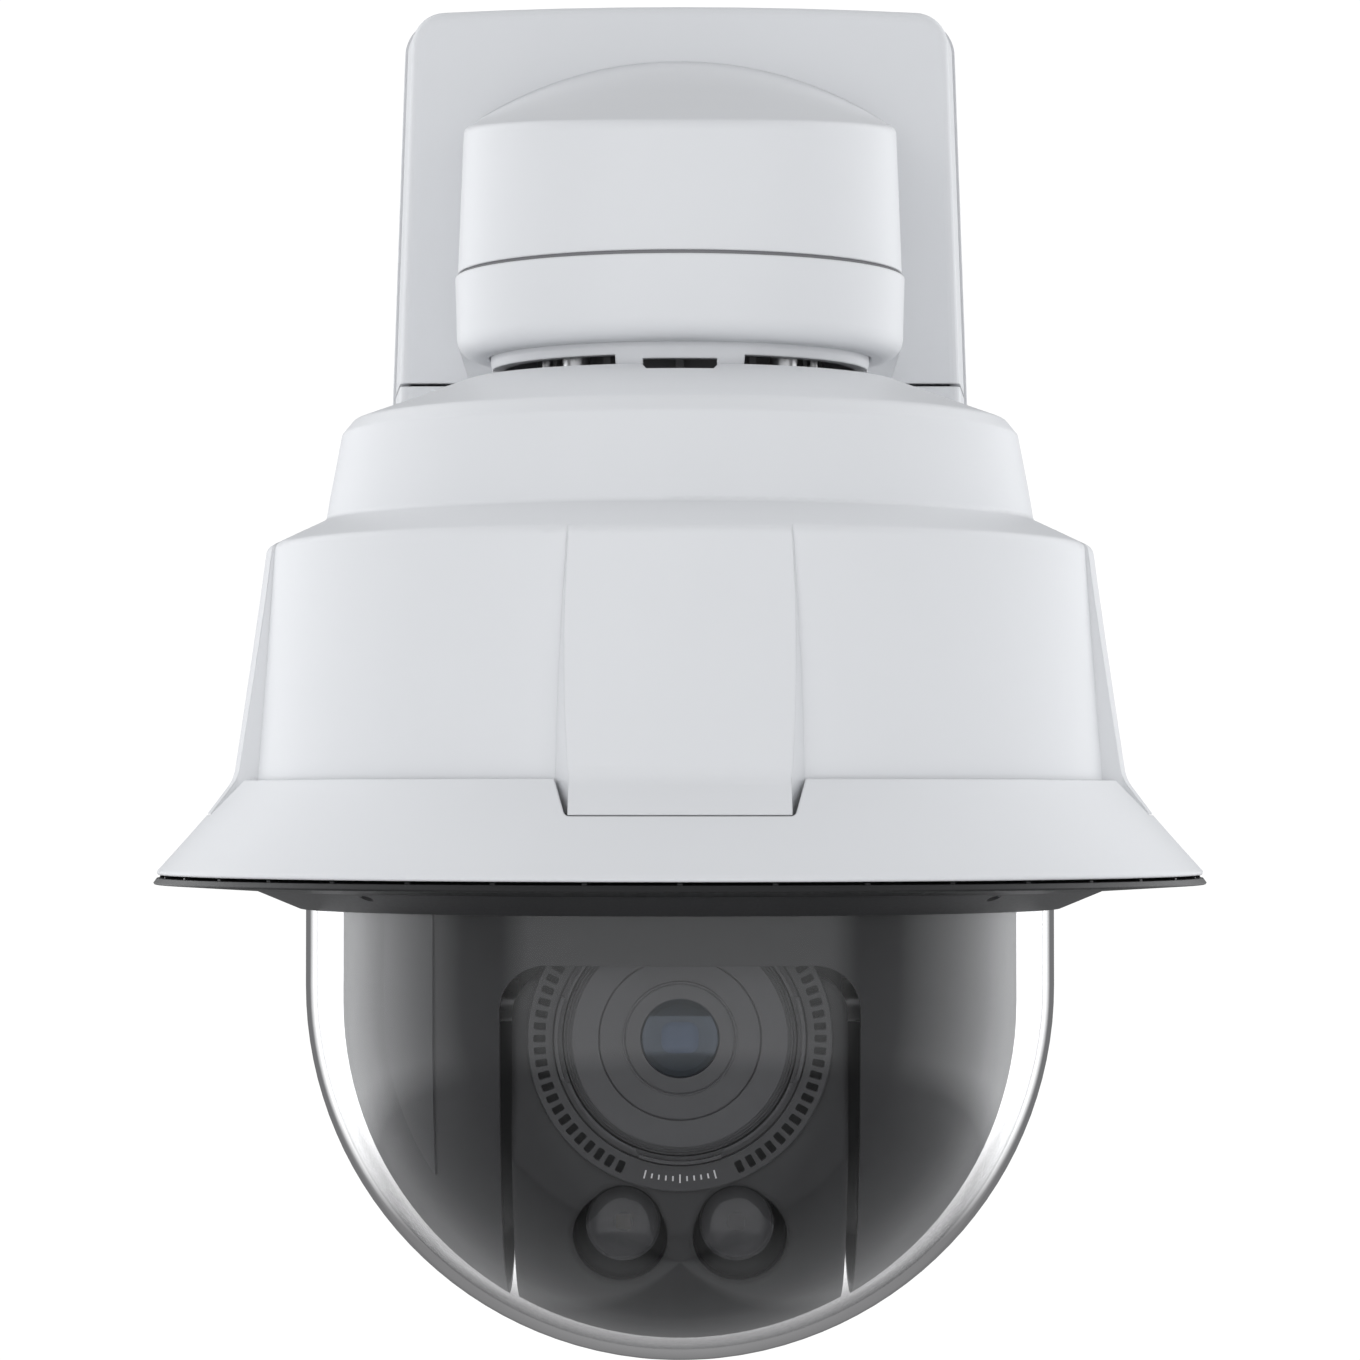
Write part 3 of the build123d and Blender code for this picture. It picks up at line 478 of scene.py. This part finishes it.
def lamp_insides():
    """A reflector bowl and a light chip inside each lamp; the left chip has a yellow phosphor."""
    bowl = ((7.9, 0.02), (7.9, 1.8), (7.6, 1.8), (6.9, 1.2), (5.2, 0.7), (2.6, 0.4), (2.2, 0.02))
    chip_layers, chip_corner = ((1.7, 0.02), (1.7, 0.7), (1.3, 0.85)), 0.4 * MM
    phosphor = solid_finish("yellow_phosphor", (0.62, 0.52, 0.10), 0.6, 0.08, edge=0)
    infrared = solid_finish("infrared_chip", (0.10, 0.03, 0.03), 0.3, 0.08, edge=0)
    bowls = bmesh.new()
    for side, name, material in ((-1, "white_light_chip", phosphor),
                                 (1, "infrared_chip", infrared)):
        middle = (side * LAMP_X, LAMP_Z - LENS_Z)
        rings = [circle(radius * MM, LAMP_SEAT + height * MM, 48, middle)
                 for radius, height in bowl]
        join_rings(bowls, rings, closed=False)
        chip = bmesh.new()
        rings = []
        for half, height in chip_layers:
            level = LAMP_SEAT + height * MM
            outline = rounded_rectangle(half * MM, half * MM, chip_corner, level, 4)
            rings.append([(x + middle[0], y + middle[1], z) for x, y, z in outline])
        join_rings(chip, rings)
        finish_piece(name, chip, material, "tilt", OUT_OF_LENS)
    finish_piece("lamp_reflectors", bowls, finishes["aluminium"], "tilt", OUT_OF_LENS)


def shell_side_panel():
    """Thin service panel on the pan shell, between one plane at its side and one near its front."""
    side_x, front_y, panel_top = 55.7 * MM, 43.1 * MM, -138.0 * MM
    sunk, proud = -0.2 * MM, 0.35 * MM
    rows, columns = 48, 8
    top, low = panel_top - BALL_Z, -math.sqrt(SHELL_R ** 2 - side_x ** 2 - front_y ** 2)
    shape = bmesh.new()
    layers = []
    for out in (sunk, proud):
        layer = []
        for row in range(rows + 1):
            height = top + (low - top) * row / rows
            radius = math.sqrt(SHELL_R ** 2 - min(0.0, height) ** 2)
            first = math.asin(min(1, side_x / radius))
            last = max(first, math.acos(min(1, front_y / radius)))
            angles = [first + (last - first) * column / columns for column in range(columns + 1)]
            layer.append([shape.verts.new((-(radius + out) * math.sin(a),
                                           AXIS_Y - (radius + out) * math.cos(a),
                                           BALL_Z + height)) for a in angles])
        layers.append(layer)
    inner, outer = layers
    for row in range(rows):
        for column in range(columns):
            for layer in layers:
                shape.faces.new((layer[row][column], layer[row][column + 1],
                                 layer[row + 1][column + 1], layer[row + 1][column]))
        for column in (0, columns):
            shape.faces.new((inner[row][column], outer[row][column],
                             outer[row + 1][column], inner[row + 1][column]))
    for row in (0, rows):
        for column in range(columns):
            shape.faces.new((inner[row][column], inner[row][column + 1],
                             outer[row][column + 1], outer[row][column]))
    finish = moulded("panel_plastic", 0.042, 0.35, edge=0.15 * MM)
    finish_piece("shell_side_panel", shape, finish, "pan")


def hexagon(across, height, steps):
    """Hexagon given by its width across flats, with as many points as the circles around it."""
    points = []
    for k in range(steps):
        angle = 2 * math.pi * k / steps
        reach = across / 2 / math.cos(angle % (math.pi / 3) - math.pi / 6)
        points.append((reach * math.cos(angle), reach * math.sin(angle), height))
    return points


def dome_screws():
    """Socket screws in the retaining ring, heads down, in place of the plain ones."""
    low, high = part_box("dome_screws")
    head_r, face_r, shank_r, steps = 1.55 * MM, 1.3 * MM, 1.2 * MM, 24
    head_height, chamfer, socket_depth, socket_width = 2.1 * MM, 0.3 * MM, 1.2 * MM, 1.5 * MM
    spot = (high.x - low.x) / 2 - head_r
    shape = bmesh.new()
    for corner in ((-1, -1), (1, -1), (1, 1), (-1, 1)):
        middle = Vector((corner[0] * spot, AXIS_Y + corner[1] * spot, 0))
        rings = [circle(shank_r, high.z, steps), circle(shank_r, low.z + head_height, steps),
                 circle(head_r, low.z + head_height, steps), circle(head_r, low.z + chamfer, steps),
                 circle(face_r, low.z, steps), hexagon(socket_width, low.z, steps),
                 hexagon(socket_width, low.z + socket_depth, steps)]
        join_rings(shape, [[Vector(point) + middle for point in ring] for ring in rings])
    piece = finish_piece("dome_socket_screws", shape, finishes["black_steel"], "root")
    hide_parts("dome_screws")


# Stage, camera and light

def make_stage():
    """A pale round floor well below the hanging camera."""
    floor_r, drop = 4.0, 1.1
    shape = bmesh.new()
    ring = circle(floor_r, cad_low.z - drop, centre=(0, AXIS_Y))
    shape.faces.new([shape.verts.new(point) for point in ring])
    mesh = bpy.data.meshes.new("floor")
    shape.to_mesh(mesh)
    shape.free()
    floor = bpy.data.objects.new("floor", mesh)
    bpy.context.scene.collection.objects.link(floor)
    set_finish(floor, solid_finish("floor_paper", (0.86, 0.86, 0.86), 0.8, 0.01, edge=0))
    floor.visible_glossy = False


def make_camera():
    """A long lens in front of the object at eye level, looking slightly up at the bracket."""
    data = bpy.data.cameras.new("camera")
    data.lens, data.sensor_width = 122.0, 36.0
    data.clip_start, data.clip_end = 0.05, 50.0
    camera = bpy.data.objects.new("camera", data)
    camera.location = (0, AXIS_Y - EYE_DISTANCE, EYE_Z)
    camera.rotation_euler = (math.radians(90) + LOOKS_UP, 0, 0)
    bpy.context.scene.collection.objects.link(camera)
    bpy.context.scene.camera = camera


def area_light(name, place, aim, size, power):
    """A square softbox that isn't seen itself, neither directly nor mirrored."""
    data = bpy.data.lights.new(name, "AREA")
    data.shape = "SQUARE"
    data.size = size
    data.energy = power
    lamp = bpy.data.objects.new(name, data)
    lamp.location = place
    lamp.rotation_euler = (Vector(aim) - Vector(place)).to_track_quat("-Z", "Y").to_euler()
    lamp.visible_camera = False
    lamp.visible_glossy = False
    bpy.context.scene.collection.objects.link(lamp)


def curve_of(tree, source, points):
    """Piecewise linear brightness over an angle in degrees, from (angle, brightness) points."""
    first, last = points[0][0], points[-1][0]
    peak = max(level for angle, level in points)
    scaled = add(tree, "ShaderNodeMapRange")
    scaled.inputs["From Min"].default_value = math.radians(first)
    scaled.inputs["From Max"].default_value = math.radians(last)
    tree.links.new(source, scaled.inputs["Value"])
    ramp = add(tree, "ShaderNodeValToRGB")
    elements = ramp.color_ramp.elements
    while len(elements) < len(points):
        elements.new(0.5)
    for element, (angle, level) in zip(elements, points):    # all in place before any is coloured
        element.position = (angle - first) / (last - first)
    for element, (angle, level) in zip(elements, points):
        share = level / peak
        element.color = (share, share, share, 1)
    tree.links.new(scaled.outputs["Result"], ramp.inputs["Fac"])
    return math_node(tree, "MULTIPLY", ramp.outputs["Color"], peak)


# Brightness around the object, as (angle in degrees, brightness): by bearing from the viewer's
# side, and by height above the horizon
PANELS = [(0, 0.88), (46, 0.88), (55, 0.12), (69, 0.12), (76, 0.55), (112, 2.0), (150, 2.0),
          (158, 0.1), (180, 0.05)]
PANEL_HEIGHTS = [(-90, 0.15), (-24, 0.15), (-17, 1.0), (38, 1.0), (62, 0.5), (90, 0.35)]
BACKDROP = [(0, 0.0), (110, 0.0), (150, 1.0), (180, 1.0)]
BACKDROP_HEIGHTS = [(-90, 0.1), (-62, 0.12), (-40, 0.6), (-27, 0.3), (-14, 0.05), (90, 0.0)]
AMBIENT = 0.07


def studio_brightness(tree):
    """Soft panels around the object, and a pale backdrop that sweeps down behind it."""
    parts = add(tree, "ShaderNodeSeparateXYZ")
    tree.links.new(add(tree, "ShaderNodeTexCoord").outputs["Generated"], parts.inputs["Vector"])
    sideways = math_node(tree, "ABSOLUTE", parts.outputs["X"])
    ahead = math_node(tree, "MULTIPLY", parts.outputs["Y"], -1.0)
    bearing = math_node(tree, "ARCTAN2", sideways, ahead)
    height = math_node(tree, "ARCSINE", parts.outputs["Z"])
    panels = math_node(tree, "MULTIPLY", curve_of(tree, bearing, PANELS),
                       curve_of(tree, height, PANEL_HEIGHTS))
    backdrop = math_node(tree, "MULTIPLY", curve_of(tree, bearing, BACKDROP),
                         curve_of(tree, height, BACKDROP_HEIGHTS))
    return math_node(tree, "ADD", math_node(tree, "ADD", panels, backdrop), AMBIENT)


def make_world():
    """White where it is seen directly or through the dome, soft panels as light on the object."""
    world = bpy.data.worlds.new("studio")
    bpy.context.scene.world = world
    world.use_nodes = True
    tree = world.node_tree
    tree.nodes.clear()
    output = add(tree, "ShaderNodeOutputWorld")
    seen = add(tree, "ShaderNodeBackground", Color=(1, 1, 1, 1), Strength=1.05)
    lit = add(tree, "ShaderNodeBackground", Color=(0.975, 0.985, 1.0, 1))
    tree.links.new(studio_brightness(tree), lit.inputs["Strength"])
    path = add(tree, "ShaderNodeLightPath")
    mix = add(tree, "ShaderNodeMixShader")
    tree.links.new(path.outputs["Is Camera Ray"], mix.inputs[0])
    tree.links.new(lit.outputs["Background"], mix.inputs[1])
    tree.links.new(seen.outputs["Background"], mix.inputs[2])
    tree.links.new(mix.outputs["Shader"], output.inputs["Surface"])


def light_scene():
    """The studio, a key light from the left, a weaker one from the right, and plain colours."""
    make_world()
    aim, softbox = (0, AXIS_Y, -0.08), 1.4
    area_light("key", (-0.9, AXIS_Y - 1.9, 0.1), aim, softbox, power=8)
    area_light("fill", (1.1, AXIS_Y - 1.7, -0.1), aim, softbox, power=4)
    view = bpy.context.scene.view_settings
    view.view_transform = "Standard"
    view.look = "None"


dress_cad_nodes()
inner_lens()
index_ticks()
lamp_insides()
shell_side_panel()
dome_screws()
make_stage()
make_camera()
light_scene()
